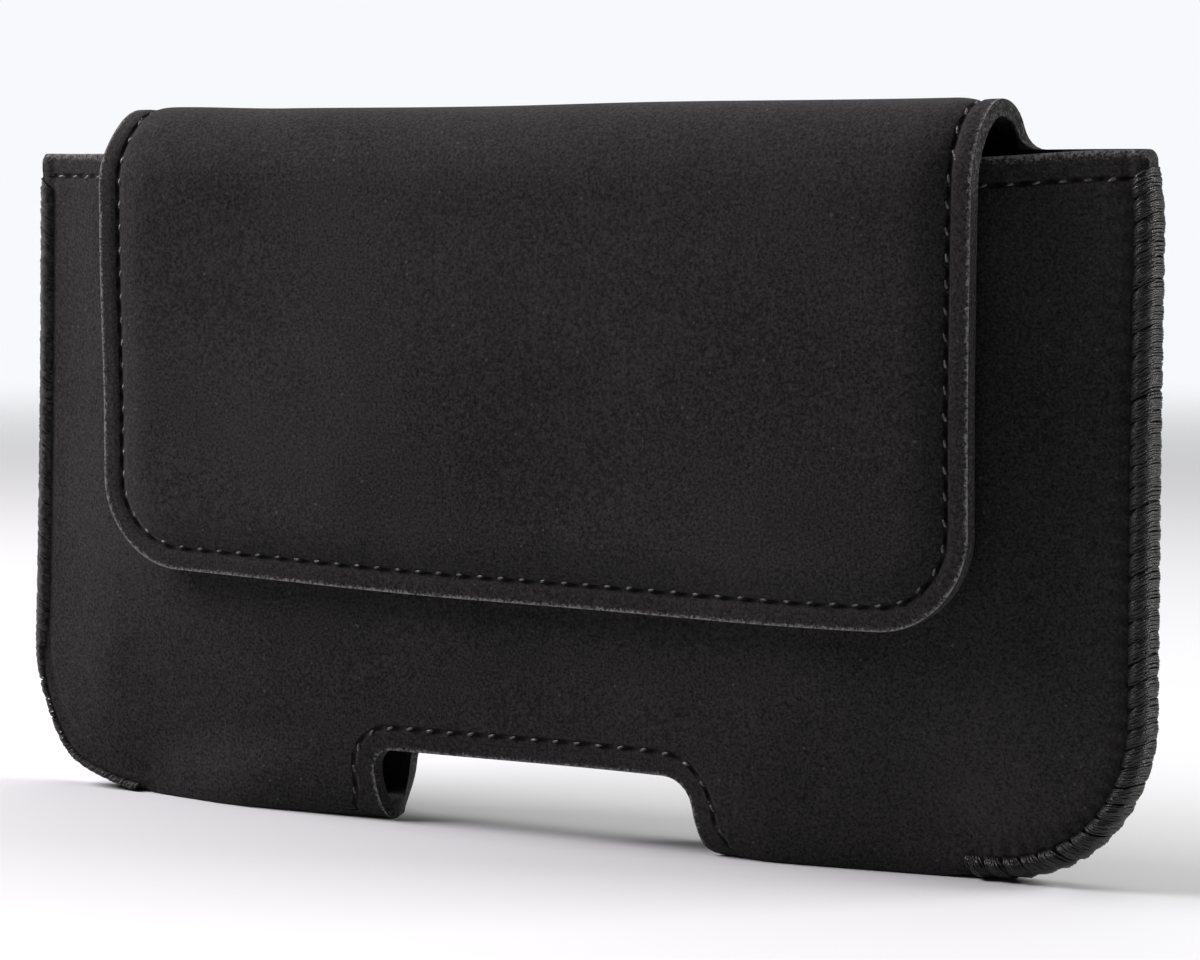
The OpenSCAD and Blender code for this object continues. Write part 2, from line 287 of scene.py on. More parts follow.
def shadeSmooth(obj):
    pick(obj)
    bpy.ops.object.shade_smooth_by_angle(angle=math.radians(skin["smoothTo"]))


def copiesOf(model, places, name):
    copies = []
    for place in places:
        copy = model.copy()
        copy.data = model.data.copy()
        copy.data.transform(place)
        bpy.context.collection.objects.link(copy)
        copies.append(copy)
    pick(*copies)
    bpy.ops.object.join()
    copies[0].name = copies[0].data.name = name
    return copies[0]


# the pouch's form: one sheet folded under, pinched flat where it is stitched
pouch = {"halfWidth": 89.55, "backTop": 95.0, "frontTop": 94.2, "cornerRadius": 21.55, "mouthRadius": 1.5,
         "frontBulge": 8.2, "backBulge": 6.6, "crown": 1.2, "frontRoll": 40.0, "backRoll": 30.0,
         "foldHeight": 6.5, "footDepth": 8.8, "footShift": 0.8, "seamLift": 0.75, "softCrease": 16.0,
         "foldFlat": 0.76}
# how soon the bottom folds drop, rise and open past the edge stitching: left fold, right fold
folds = {"drop": (4, 9), "rise": (11, 26), "openEarly": (1, 0), "openOver": (5, 12)}
skin = {"leather": 1.4, "lining": 0.8, "edgeHalf": 2.25, "roundOver": 0.2, "sharpFrom": 58, "smoothTo": 50}
# what stitches pull in: how deep, how far from their line and how wide
sinks = {"edge": (0.3, 2.6, 0.6), "rim": (0.5, 0, 0.8), "mouth": (0.2, 0, 0.6), "flap": (0.5, 0, 0.6)}
notch = {"halfWidth": 25.35, "height": 10.6, "radius": 3.5, "flare": 2.0}
flap = {"halfWidth": 68.75, "bottom": 33.5, "corner": 13.0, "archRise": 6.5, "archFront": 11.5, "crest": -2.3,
        "root": 3.0, "front": -10.8, "seamIn": 3.1, "seamTop": 1.5, "puff": 0.8, "pad": 0.25,
        "bend": (2.6, -7.2, 100.0)}
stitch = {"pitch": 3.37, "length": 1.75, "width": 0.46, "height": 0.4, "sink": 0.07, "steps": 12,
          "near": 2.2, "far": 9.0, "mouthDrop": 3.54, "mouthSlope": 0.0014, "mouthEnds": (-86.6, 86.4),
          "notchOut": 3.2, "dip": 55, "slant": (8, 24), "sizes": (0.93, 1.05)}
arcX = pouch["halfWidth"] - pouch["cornerRadius"]
arcZ = pouch["cornerRadius"] + pouch["seamLift"]
cutX, cutZ = notch["halfWidth"] - notch["radius"], notch["height"] - notch["radius"]
edgeStraight = pouch["frontTop"] - pouch["mouthRadius"] - arcZ
edgeAround = pouch["cornerRadius"] * math.pi / 2
shiftY = sum(corner[1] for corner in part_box("edge_stitching_right")) / 2 / mm


def smooth(t):
    t = np.clip(t, 0, 1)
    return t * t * (3 - 2 * t)


def ramp(value, start, over):
    # 0 up to start, and 1 from start + over on
    return smooth((value - start) / over)


def fall(value, end, over):
    # 1 up to end - over, and 0 from end on
    return smooth((end - value) / over)


def hump(value, middle, wide):
    return np.exp(-((value - middle) / wide) ** 2)


def sunk(off, key):
    depth, place, wide = sinks[key]
    return depth * hump(off, place, wide)


def byFold(x, key):
    left, right = folds[key]
    return np.where(x < 0, left, right)


def edgeDistance(x, z):
    # distance in from the stitched edge, with the crease between side and bottom rounded off
    a, r, soft = np.abs(x), pouch["cornerRadius"], pouch["softCrease"]
    quick = 1 + 0.7 * (x < 0) * fall(z, 12, 11)  # the left fold opens sooner
    side = pouch["halfWidth"] - a
    below = np.hypot(quick * np.maximum(arcX - a, 0), np.maximum(0, z - arcZ + r))
    rounding = np.maximum(soft - np.abs(side - below), 0) ** 2 / (4 * soft)
    corner = np.where(z < arcZ, r - np.hypot(a - arcX, arcZ - z), side)
    return np.where(a > arcX, corner - rounding * smooth(1 - (a - arcX) / 8),
                    np.minimum(side, below) - rounding)


def risen(x, z, top, roll):
    # how far a panel stands out: it rises from the seam, with a groove along the thread and a pinched rim
    d = np.maximum(edgeDistance(x, z), 0)
    rise = np.sin(np.pi / 2 * np.clip(d / roll, 0, 1)) ** 1.5
    return skin["edgeHalf"] + (top - skin["edgeHalf"]) * rise - sunk(d, "edge") - sunk(d, "rim")


def mouthSeam(x):
    return pouch["frontTop"] - stitch["mouthDrop"] - stitch["mouthSlope"] * x


def frontDepth(x, z):
    mid = pouch["backTop"] / 2
    top = pouch["frontBulge"] - pouch["crown"] * ((z - mid) / mid) ** 2
    return risen(x, z, top, pouch["frontRoll"]) - sunk(z - mouthSeam(x), "mouth")


def backDepth(x, z):
    return risen(x, z, pouch["backBulge"], pouch["backRoll"])


def bottomZ(x):
    a, r = np.abs(x), pouch["cornerRadius"]
    return np.where(a > arcX, arcZ - np.sqrt(np.maximum(0, r * r - (a - arcX) ** 2)),
                    pouch["seamLift"] * (1 - smooth((arcX - a) / byFold(x, "drop"))))


def foldHeight(x):
    low = skin["edgeHalf"] + 0.4
    return low + (pouch["foldHeight"] - low) * smooth((arcX - np.abs(x)) / byFold(x, "rise"))


# hand-made unevenness: how far each part of the leather strays. In a pair, the second grows along the part
stray = {"leftIn": 1.8, "leftBack": (0.3, 1.1), "rightIn": (0.45, 0.8), "shoulderIn": 0.8,
         "flapLeft": 0.6, "flapRight": 0.5, "archSag": 0.75,
         "notchRight": (0.3, 2.4), "notchLeft": (0.5, 1.5), "notchBack": 1.4,
         "cornerOut": 0.4, "cornerDown": 1.3, "foldIn": 1.2, "foldForward": 1.8, "footDown": 0.6,
         "mouthRight": 0.9, "mouthLeft": 1.1, "mouthDip": 0.2}


def notchLean(x, y, z):
    # the notch's ends lean to the right, but at the back the left one leans the other way
    low = np.clip(1 - z / 11, 0, 1)
    leftEnd = hump(x, -25, 9)
    rightStill, rightMore = stray["notchRight"]
    leftStill, leftMore = stray["notchLeft"]
    lean = (rightStill + rightMore * low) * hump(x, 27, 9)
    lean = lean + (leftStill + leftMore * low) * leftEnd * fall(y, 4, 8)
    return (lean - stray["notchBack"] * low * leftEnd * ramp(y, 1, 5)) * fall(z, 24, 13)


def warp(points, hanging=0.0, mouth=0.0):
    # the same for every piece; hanging is the flap's share of it, and mouth is 1 on the front panel
    x, y, z = points[..., 0], points[..., 1], points[..., 2]
    upward = ramp(z, 0, 14)
    dx = 0.2 * np.sin(z / 17 + 0.7) * np.sin(x / 60 + 1.1)
    dy = 0.22 * np.sin(x / 29 + 0.4) * np.sin(z / 21 + 0.9) + 0.08 * np.sin(x / 11 + z / 13)
    dz = 0.18 * np.sin(x / 23 + 2.0) + 0.1 * np.sin(x / 9.7)
    # the left edge leans in and back
    left, high = ramp(-x, 71, 16), pouch["backTop"]
    still, more = stray["leftBack"]
    dx, dy = dx + left * stray["leftIn"] * z / high, dy + left * (still + more * z / high)
    # the right edge leans in, and so does the arch's left shoulder
    still, more = stray["rightIn"]
    dx = dx - (still + more * ramp(z, 86, 8)) * ramp(x, 78, 10)
    dx = dx + stray["shoulderIn"] * ramp(-x, 40, 28) * ramp(z, 92, 8) * ramp(x, -79, 8)
    # both of the flap's sides stand a little to the left, and the arch sags in the middle
    flapLeft = stray["flapLeft"] * ramp(z, 56, 26) * np.clip((-x - 20) / (flap["halfWidth"] - 20), 0, 1) ** 4
    dx = dx - (flapLeft + stray["flapRight"] * ramp(x, 45, 20)) * hanging
    dz = dz - stray["archSag"] * ramp(z, 86, 12) * fall(x, 52, 60) * (1 - 0.8 * ramp(-x, 42, 22))
    # the left bottom corner is a little tighter than the right one, and its fold comes forward
    tight = np.exp(-((x + 82) / 6.5) ** 2 - ((z - 6) / 6) ** 2)
    forward = ramp(-x, 34, 32) * fall(z, 30, 26)
    foot = stray["footDown"] * hump(x, -70, 8) * fall(z, 8, 7)
    # the flap hangs off square, and the front's mouth rises at its ends
    tilt = (-0.4 - 0.015 * x + 0.00026 * x * x) * fall(z, 72, 38) * hanging
    lift = stray["mouthRight"] * ramp(x, 64, 22) + stray["mouthLeft"] * ramp(-x, 48, 28) - stray["mouthDip"]
    lift = lift * ramp(z, 58, 34) * mouth
    newX = x + dx * upward + notchLean(x, y, z) - stray["cornerOut"] * tight + stray["foldIn"] * forward
    newY = y + dy * upward + shiftY - stray["foldForward"] * forward
    newZ = z + dz * upward + tilt + lift - stray["cornerDown"] * tight - foot
    return np.stack([newX, newY, np.maximum(newZ, np.minimum(z, 0.05))], axis=-1) * mm


# each row gives one line across the sheet: at(x, inset) is where the leather lies, inset below its outer face
def cornerDrop(x):
    r = pouch["mouthRadius"]
    over = np.clip(np.abs(x) - pouch["halfWidth"] + r, 0, r)
    return r - np.sqrt(np.maximum(0, r * r - over * over))


def wallRow(side, t, high, depth):
    def at(x, inset=0):
        z0 = bottomZ(x) + foldHeight(x)
        z = z0 + (high - cornerDrop(x) - z0) * t
        return np.stack([x, side * (depth(x, z) - inset), z], axis=-1)
    return {"at": at, "side": "front" if side < 0 else "back"}


def foldRow(side, angle, depth, share=1.0):
    def at(x, inset=0):
        r = foldHeight(x)
        h = depth(x, bottomZ(x) + r * (1 - math.cos(angle))) - inset
        opening = smooth((arcX + byFold(x, "openEarly") - np.abs(x)) / byFold(x, "openOver"))
        flat = 1 + (pouch["footDepth"] / 2 - side * pouch["footShift"] - 1) * opening
        flat = flat * (1 - 0.4 * hump(np.abs(x), 25, 8))  # narrower at the notch
        f = np.minimum(pouch["foldFlat"] * h, flat)
        y = side * (f + (h - f) * math.sin(angle)) * share
        return np.stack([x, y, bottomZ(x) + inset + (r - inset) * (1 - math.cos(angle))], axis=-1)
    return {"at": at, "side": "fold"}


def archBackRow(angle, half):
    def at(x, inset=0):
        h, c = backDepth(x, pouch["backTop"] + 0 * x) - inset, flap["crest"]
        return np.stack([x, c + (h - c) * math.cos(angle),
                         0 * x + pouch["backTop"] + (flap["archRise"] - inset) * math.sin(angle)], axis=-1)
    return {"at": at, "side": "flap", "half": half}


def archFrontRow(angle, half):
    def at(x, inset=0):
        c, rise = flap["crest"], flap["archFront"]
        z = 0 * x + pouch["backTop"] + flap["archRise"] - rise + (rise - inset) * math.cos(angle)
        return np.stack([x, 0 * x + c + (flap["front"] + inset - c) * math.sin(angle), z], axis=-1)
    return {"at": at, "side": "flap", "half": half}


def hangingRow(z, half):
    def at(x, inset=0):
        return np.stack([x, 0 * x + flap["front"] + inset, 0 * x + z], axis=-1)
    return {"at": at, "side": "flap", "half": half}


# where the sheet's rows and columns lie: down from the mouth, up from the foot, and out from the middle
grid = {"mouthEnd": 7.2, "mouthStep": 0.72, "panel": (7.9, 16.5, 46), "foldStep": math.pi / 18, "foldRows": 9,
        "aboveNotch": (15.6, 14.7, 13.7, 12.7, 11.6, 10.6, 10.1, 9.5, 8.8, 8.0, 7.2),
        "rootRows": 6, "archBackRows": 10, "archFrontRows": 16, "hangingRows": 36, "cornerRows": 25,
        "middle": (20.4, 16), "notchSide": (21.1, 21.85, 22.6, 23.3, 24.0, 24.7), "beside": (26.1, 61.5, 27),
        "flapSeam": (62.5, 63.3, 64.0, 64.7, 65.2, 65.65, 66.1, 66.6, 67.2), "still": 30.0}


# from the front's mouth, under the pouch, to the flap's edge
def sheetRows():
    top = pouch["frontTop"]
    start, end, number = grid["panel"]
    down = list(np.arange(0, grid["mouthEnd"], grid["mouthStep"]))
    down += list(np.linspace(start, top - end, number)) + [top - z for z in grid["aboveNotch"]]
    shares = [1 - v / (top - pouch["foldHeight"]) for v in down]
    turns = [grid["foldStep"] * k for k in range(grid["foldRows"])]
    rows = [wallRow(-1, t, top, frontDepth) for t in shares]
    rows += [foldRow(-1, turn, frontDepth) for turn in reversed(turns)]
    rows += [foldRow(side, 0, depth, share)
             for side, depth, share in ((-1, frontDepth, 0.55), (-1, frontDepth, 0.0), (1, backDepth, 0.55))]
    rows += [foldRow(1, turn, backDepth) for turn in turns]
    rows += [wallRow(1, t, pouch["backTop"], backDepth) for t in reversed(shares)]
    r, rise, half = flap["root"], flap["archRise"], flap["halfWidth"]
    for k in range(1, grid["rootRows"] + 1):
        phi = math.radians(90 / grid["rootRows"] * k)
        rows.append(archBackRow(math.asin(r * (1 - math.cos(phi)) / rise), half + r - r * math.sin(phi)))
    first, number = math.asin(r / rise), grid["archBackRows"]
    rows += [archBackRow(first + (math.pi / 2 - first) * k / number, half) for k in range(1, number + 1)]
    number = grid["archFrontRows"]
    rows += [archFrontRow(math.pi / 2 * k / number, half) for k in range(1, number + 1)]
    low, r = flap["bottom"] + flap["corner"], flap["corner"]
    spring = pouch["backTop"] + rise - flap["archFront"]
    rows += [hangingRow(z, half) for z in np.linspace(spring, low, grid["hangingRows"])[1:]]
    for k in range(1, grid["cornerRows"] + 1):
        phi = math.pi / 2 * k / grid["cornerRows"]
        rows.append(hangingRow(low - r * math.sin(phi), half - r * (1 - math.cos(phi))))
    return rows


def baseColumns():
    wide, number = grid["middle"]
    right = list(np.linspace(0, wide, number)) + list(grid["notchSide"]) + [notch["halfWidth"]]
    right += list(np.linspace(*grid["beside"])) + list(grid["flapSeam"]) + [arcX, flap["halfWidth"]]
    corner = list(range(84, 35, -4)) + list(range(33, -1, -3))  # degrees, closer together towards the edge
    right += [arcX + pouch["cornerRadius"] * math.cos(math.radians(a)) for a in corner]
    return np.array([-x for x in reversed(right[1:])] + right)


def spread(base, mid):
    # moves the columns so that the flap's side column stands at mid
    keep, half, wide = grid["still"], flap["halfWidth"], pouch["halfWidth"]
    a = np.abs(base)
    inner = keep + (a - keep) * (mid - keep) / (half - keep)
    outer = mid + (a - half) * (wide - mid) / (wide - half)
    return np.sign(base) * np.where(a <= keep, a, np.where(a <= half, inner, outer))


def rowColumns(row, base):
    if row["side"] == "flap":
        return spread(np.clip(base, -flap["halfWidth"], flap["halfWidth"]), row["half"])
    z = float(row["at"](np.array([20.0]))[0, 2])
    root = flap["root"] * float(ramp(z, 87, 8)) if row["side"] == "back" else 0
    x = spread(base, flap["halfWidth"] + root)
    flare = notch["flare"]
    flareOut = flare * (1 - math.sqrt(max(0, 1 - (1 - min(max(z, 0), flare) / flare) ** 2))) * (x > 0)
    return x + flareOut * hump(np.abs(x), notch["halfWidth"], 4)


def flapDistance(x, run):
    # distance in from the flap's cut edge; run is the way up the leather from the lower edge
    r = flap["corner"]
    qx, qs = np.abs(x) - (flap["halfWidth"] - r), r - run
    corner = r - np.hypot(np.maximum(qx, 0), np.maximum(qs, 0))
    return np.where((qx > 0) & (qs > 0), corner, np.minimum(flap["halfWidth"] - np.abs(x), run))


def hangShare(run):
    # how much of the flap's own unevenness a place takes: all of it low down, none at the arch
    return fall(run, 72, 14)


# stitch lines on the sheet, as evenly spaced points, a fixed number to each stitch
def evenly(points, pitch):
    points = np.array(points, float)
    lengths = np.concatenate([[0], np.cumsum(np.linalg.norm(np.diff(points, axis=0), axis=1))])
    count = max(1, round(lengths[-1] / pitch))
    steps = np.linspace(0, lengths[-1], count * stitch["steps"] + 1)
    return np.stack([np.interp(steps, lengths, points[:, k]) for k in range(points.shape[1])], axis=1)


def arcPoints(cx, cz, r, start, end):
    turns = [math.radians(a) for a in np.linspace(start, end, 10)]
    return [(cx + r * math.cos(turn), cz + r * math.sin(turn)) for turn in turns]


def flapLine(isFlap, points, run):
    profile, runs = points[isFlap, points.shape[1] // 2][::-1], run[isFlap][::-1]
    x, c, r = flap["halfWidth"] - flap["seamIn"], flap["halfWidth"] - flap["corner"], flap["corner"]
    high, inner = runs[-1] - flap["seamTop"], r - flap["seamIn"]
    path = [(x, high)] + arcPoints(c, r, inner, 0, -90) + arcPoints(-c, r, inner, -90, -180) + [(-x, high)]
    path = evenly(path, stitch["pitch"])
    y, z = (np.interp(path[:, 1], runs, profile[:, k]) for k in (1, 2))
    return {"name": "flap", "flat": path, "place": np.stack([path[:, 0], y, z], axis=1), "side": "flap"}


def stitchLines(isFlap, points, run):
    ends = [(x, mouthSeam(x)) for x in stitch["mouthEnds"]]
    lines = [{"name": "mouth", "flat": evenly(ends, stitch["pitch"]), "side": "front"}]
    r, out = notch["radius"] + stitch["notchOut"], notch["halfWidth"] + stitch["notchOut"]
    leg = [(out + 1.0, 2.3), (out + 0.25, 3.6), (out, 5.0)]
    path = leg + arcPoints(cutX, cutZ, r, 0, 90) + arcPoints(-cutX, cutZ, r, 90, 180)
    path = evenly(path + [(-x, z) for x, z in reversed(leg)], stitch["pitch"])
    lines += [{"name": "notch_" + side, "flat": path, "side": side} for side in ("front", "back")]
    for line in lines:
        sign, depth = (-1, frontDepth) if line["side"] == "front" else (1, backDepth)
        x, z = line["flat"][:, 0], line["flat"][:, 1]
        line["place"] = np.stack([x, sign * depth(x, z), z], axis=1)
    return [flapLine(isFlap, points, run)] + lines


def nearLine(x, z, line):
    # stitches along the line, and distance off it, for points of the same face
    offX, offZ = x[:, None] - line["flat"][None, :, 0], z[:, None] - line["flat"][None, :, 1]
    nearest, each = np.hypot(offX, offZ).argmin(axis=1), np.arange(len(x))
    offX, offZ, way = offX[each, nearest], offZ[each, nearest], np.gradient(line["flat"], axis=0)[nearest]
    off = np.hypot(offX, offZ)
    # the sign tells one side of the line from the other, so that it passes through 0 on the line
    sign = np.where(way[:, 0] * offZ > way[:, 1] * offX, 1, -1) * (1 if line["name"] == "flap" else -1)
    return nearest / stitch["steps"], np.where(off > stitch["near"], stitch["far"], off) * sign


def seamMap(x, z, rowOf, face, run, lines):
    seam = np.full((len(x), 2), stitch["far"])
    for line in lines:
        chosen = np.flatnonzero(face[rowOf] == line["side"])
        height = run[rowOf[chosen]] if line["side"] == "flap" else z[chosen]
        along, off = nearLine(x[chosen], height, line)
        closer = np.abs(off) < np.abs(seam[chosen, 1])
        seam[chosen[closer]] = np.stack([along[closer], off[closer]], axis=1)
    return seam


def edgeMap(x, z, onFlap):
    # stitches along the edge thread, and distance in from it, made large where no ribs belong, so that no
    # ribs and no painted shade of ribs or groove are laid there
    turn = np.arctan2(arcZ - z, np.maximum(np.abs(x) - arcX, 0.001))
    along = np.where(z > arcZ, arcZ - z, turn * pouch["cornerRadius"]) / whip["pitch"]
    bare = np.maximum(onFlap, fall(np.abs(x), arcX + 1, 9) * (z < 40))
    return np.stack([along, edgeDistance(x, z) + 30 * bare + 7 * (x < 0) + 7 * ramp(z, 90, 2)], axis=1)


def rimMap(x, z, side, onFlap, inward):
    # distance from the nearest cut edge; the front's mouth counts half
    rim = np.hypot(np.maximum(np.abs(x) - cutX, 0), np.maximum(z - cutZ, 0)) - notch["radius"]
    rim = np.where(side == "front", np.minimum(rim, 0.5 * (pouch["frontTop"] - z)), rim)
    besideFlap = (side == "back") & (np.abs(x) > flap["halfWidth"])
    rim = np.where(besideFlap, np.minimum(rim, pouch["backTop"] - z), rim)
    rim = np.where(onFlap, inward + flap["seamIn"], rim)
    return np.stack([rim, rim], axis=1)


def leftOut(base, bare, last):
    # which faces the pattern leaves out: the notch, and beside the flap
    a = np.abs((base[1:] + base[:-1]) / 2)[None]
    heights = (bare[1:, 1:, 2] + bare[:-1, :-1, 2]) / 2
    reach = np.hypot(np.maximum(a - notch["halfWidth"] + notch["radius"], 0),
                     np.maximum(heights - notch["height"] + notch["radius"], 0))
    below = (np.arange(len(heights)) < last)[:, None]
    cut = below & (a < notch["halfWidth"]) & (heights < notch["height"]) & (reach < notch["radius"])
    return cut | (~below & (a > flap["halfWidth"]))


def fieldLift(inward, run, isFlap):
    # the raised field inside the flap's stitches, and the line that they pull down
    runs = run[:, None]
    lift = flap["puff"] * smooth((inward - 0.2) / 5) * fall(runs, 72, 16) + flap["pad"] * smooth(inward / 3)
    return (lift - sunk(inward, "flap")) * isFlap[:, None] * fall(runs, 84, 8)


def outwardOf(profile):
    tangent = np.gradient(profile, axis=0)
    outward = np.stack([0 * tangent[:, 0], tangent[:, 2], -tangent[:, 1]], axis=1)
    return outward / np.linalg.norm(outward, axis=1, keepdims=True)


def cutPattern(sheet, cut, bare):
    # deletes what is cut away, and returns which grid point each vertex was
    home = sheet.data.attributes.new("home", "INT", "POINT")
    home.data.foreach_set("value", np.arange(bare.shape[0] * bare.shape[1], dtype=np.int32))
    selectFaces(sheet, cut.ravel())
    bpy.ops.mesh.delete(type="FACE")
    bpy.ops.mesh.select_all(action="SELECT")
    bpy.ops.mesh.flip_normals()
    bpy.ops.object.mode_set(mode="OBJECT")
    kept = np.zeros(len(sheet.data.vertices), np.int32)
    sheet.data.attributes["home"].data.foreach_get("value", kept)
    sheet.data.attributes.remove(sheet.data.attributes["home"])
    return kept


def makeSheet(name, inset, thickness, lifted):
    rows, base = sheetRows(), baseColumns()
    columns, count = len(base), len(rows)
    bpy.ops.mesh.primitive_grid_add(x_subdivisions=columns - 1, y_subdivisions=count - 1, size=1)
    sheet = bpy.context.object
    sheet.name = sheet.data.name = name
    across = [rowColumns(row, base) for row in rows]
    bare, outer, inner = (np.array([row["at"](x, depth) for row, x in zip(rows, across)])
                          for depth in (0, inset, inset + thickness))
    side = np.array([row["side"] for row in rows])
    isFlap = side == "flap"
    profile = bare[:, columns // 2]
    step = np.linalg.norm(np.diff(profile, axis=0), axis=1)
    run = np.concatenate([np.cumsum(step[::-1])[::-1], [0]])
    lines = stitchLines(isFlap, bare, run)
    inward = flapDistance(bare[..., 0], np.repeat(run[:, None], columns, axis=1)) - flap["seamIn"]
    if lifted:
        raised = fieldLift(inward, run, isFlap)[..., None] * outwardOf(profile)[:, None]
        outer, inner = outer + raised, inner + raised
    # the shell's faces take slots 0 and 1, the flap's take 2 and 3
    last = int(np.argmax(isFlap)) - 1
    flapFace = np.repeat((np.arange(count - 1) >= last)[:, None], columns - 1, axis=1)
    for material in (outerLeather, edgeFinish, outerLeather, edgeFinish):
        sheet.data.materials.append(material)
    sheet.data.polygons.foreach_set("material_index", (flapFace.ravel() * 2).astype(np.int32))
    # maps for the pull of the stitches, the ribs beside the edge stitching and the fuzz of the cuts
    x, z, rowOf = bare[..., 0].ravel(), bare[..., 2].ravel(), np.repeat(np.arange(count), columns)
    face = np.where(side == "fold", np.where(bare[:, 0, 1] < 0, "front", "back"), side)
    maps = {"seamMap": seamMap(x, z, rowOf, face, run, lines), "edgeMap": edgeMap(x, z, isFlap[rowOf]),
            "rimMap": rimMap(x, z, side[rowOf], isFlap[rowOf], inward.ravel())}
    corners = np.zeros(len(sheet.data.loops), np.int32)
    sheet.data.loops.foreach_get("vertex_index", corners)
    for label, values in maps.items():
        layer = sheet.data.uv_layers.new(name=label)
        layer.data.foreach_set("uv", values[corners].astype(np.float32).ravel())
    kept = cutPattern(sheet, leftOut(base, bare, last), bare)
    move = roundNotch(sheet, bare.reshape(-1, 3)[kept])
    # the wall only doubles the sheet: both of its faces are placed right after
    wall = sheet.modifiers.new("wall", "SOLIDIFY")
    wall.thickness, wall.offset, wall.material_offset_rim = 0.01, -1, 1
    applyAll(sheet)
    hanging, mouth = (isFlap * hangShare(run))[rowOf[kept]], (side == "front")[rowOf[kept]]
    faces = [warp(layer.reshape(-1, 3)[kept] + move, hanging, mouth) for layer in (outer, inner)]
    setPoints(sheet, np.concatenate(faces))
    edgeRound = sheet.modifiers.new("edge", "BEVEL")
    edgeRound.width = min(skin["roundOver"], thickness * 0.28) * mm
    edgeRound.segments, edgeRound.angle_limit = 2, math.radians(skin["sharpFrom"])
    applyAll(sheet)
    shadeSmooth(sheet)
    print(name, len(sheet.data.polygons), "faces")
    return sheet, lines


def selectFaces(obj, chosen):
    # leaves the object in edit mode with just these faces selected
    pick(obj)
    bpy.ops.object.mode_set(mode="EDIT")
    bpy.ops.mesh.select_mode(type="FACE")
    bpy.ops.mesh.select_all(action="DESELECT")
    bpy.ops.object.mode_set(mode="OBJECT")
    obj.data.polygons.foreach_set("select", chosen)
    bpy.ops.object.mode_set(mode="EDIT")


def roundNotch(sheet, places):
    # the cut edges at the notch's upper corners are moved onto the arc
    uses = {}
    for face in sheet.data.polygons:
        for key in face.edge_keys:
            uses[key] = uses.get(key, 0) + 1
    rim = sorted({vertex for key, count in uses.items() if count == 1 for vertex in key})
    r, margin = notch["radius"], 1.5
    move = np.zeros_like(places)
    for index in rim:
        x, _, z = places[index]
        if cutX < abs(x) < notch["halfWidth"] + margin and cutZ < z < notch["height"] + margin:
            away = math.hypot(abs(x) - cutX, z - cutZ)
            onArc = cutX + (abs(x) - cutX) * r / away
            move[index] = [math.copysign(onArc, x) - x, 0, cutZ + (z - cutZ) * r / away - z]
    return move


def splitFlap(sheet, shellName, flapName):
    # the flap's leather leaves the shell at the back panel's top edge
    index = np.zeros(len(sheet.data.polygons), np.int32)
    sheet.data.polygons.foreach_get("material_index", index)
    selectFaces(sheet, index > 1)
    bpy.ops.mesh.separate(type="SELECTED")
    bpy.ops.object.mode_set(mode="OBJECT")
    part = [o for o in bpy.context.selected_objects if o != sheet][0]
    for obj, name in ((sheet, shellName), (part, flapName)):
        index = np.zeros(len(obj.data.polygons), np.int32)
        obj.data.polygons.foreach_get("material_index", index)
        obj.data.polygons.foreach_set("material_index", index % 2)
        obj.data.materials.pop(index=3)
        obj.data.materials.pop(index=2)
        obj.name = obj.data.name = name
    return sheet, part


# one sewn stitch: a short thread that dips into its holes
def stitchModel(finish):
    bpy.ops.mesh.primitive_uv_sphere_add(segments=8, ring_count=7, radius=0.5, rotation=(0, math.pi / 2, 0))
    model = bpy.context.object
    bpy.ops.object.transform_apply(rotation=True)
    bpy.ops.transform.resize(value=(stitch["length"] * mm, stitch["width"] * mm, stitch["height"] * mm))
    bpy.ops.object.transform_apply(scale=True)
    dip = model.modifiers.new("dip", "SIMPLE_DEFORM")
    dip.deform_method, dip.deform_axis, dip.angle = "BEND", "Y", math.radians(stitch["dip"])
    applyAll(model)
    model.data.materials.append(finish)
    pick(model)
    bpy.ops.object.shade_smooth()
    return model


def sewLine(model, surface, line, name):
    hanging = hangShare(line["flat"][:, 1]) if line.get("name") == "flap" else 0.0
    marksAt = warp(line["place"], hanging, float(line.get("name") == "mouth"))[::stitch["steps"]]
    places = []
    for start, end in zip(marksAt[:-1], marksAt[1:]):
        _, spot, normal, _ = surface.closest_point_on_mesh(Vector((start + end) / 2))
        along = Vector(end - start).normalized()
        along = (along - normal * along.dot(normal)).normalized()
        slant = Matrix.Rotation(math.radians(dice.uniform(*stitch["slant"])), 3, normal)
        along = (slant @ along).normalized()
        basis = Matrix((along, normal.cross(along), normal)).transposed()
        size = dice.uniform(*stitch["sizes"])
        inPlace = Matrix.Translation(spot - normal * (stitch["sink"] * mm))
        places.append(inPlace @ basis.to_4x4() @ Matrix.Scale(size, 4))
    return copiesOf(model, places, name)


# the whipped edge: bundles of fine strands over the cut edge. In a pair, -1 is the left side
whip = {"pitch": 2.8, "reach": 2.3, "lean": 1.5, "backLean": 0.6, "strands": 10, "strandRadius": 0.155,
        "spacing": {-1: 0.275, 1: 0.268}, "cornerCloser": 0.015, "start": {-1: 1.0, 1: 0.55},
        "cushion": {-1: 0.08, 1: 0.38}, "gather": {-1: 0.04, 1: 0.26}, "extra": {-1: 0.0, 1: 1.4},
        "shorter": {-1: 0.6, 1: 0}, "endRadius": 0.75}
# how far its bundles and strands stray at random, in millimetres or as shares
whipStray = {"place": (-0.12, 0.12), "width": (0.94, 1.08), "stack": (-0.09, 0.12), "slant": (-0.13, 0.13),
             "radius": (0.92, 1.08)}
# half of a strand's way: how far in from the edge, and how far over the leather
strandWay = [(whip["reach"] + 0.2, -0.5), (whip["reach"], 0.1), (whip["reach"] * 0.78, 0.42),
             (whip["reach"] * 0.5, 0.56), (whip["reach"] * 0.22, 0.42), (0.08, 0.2), (-0.25, -0.65)]


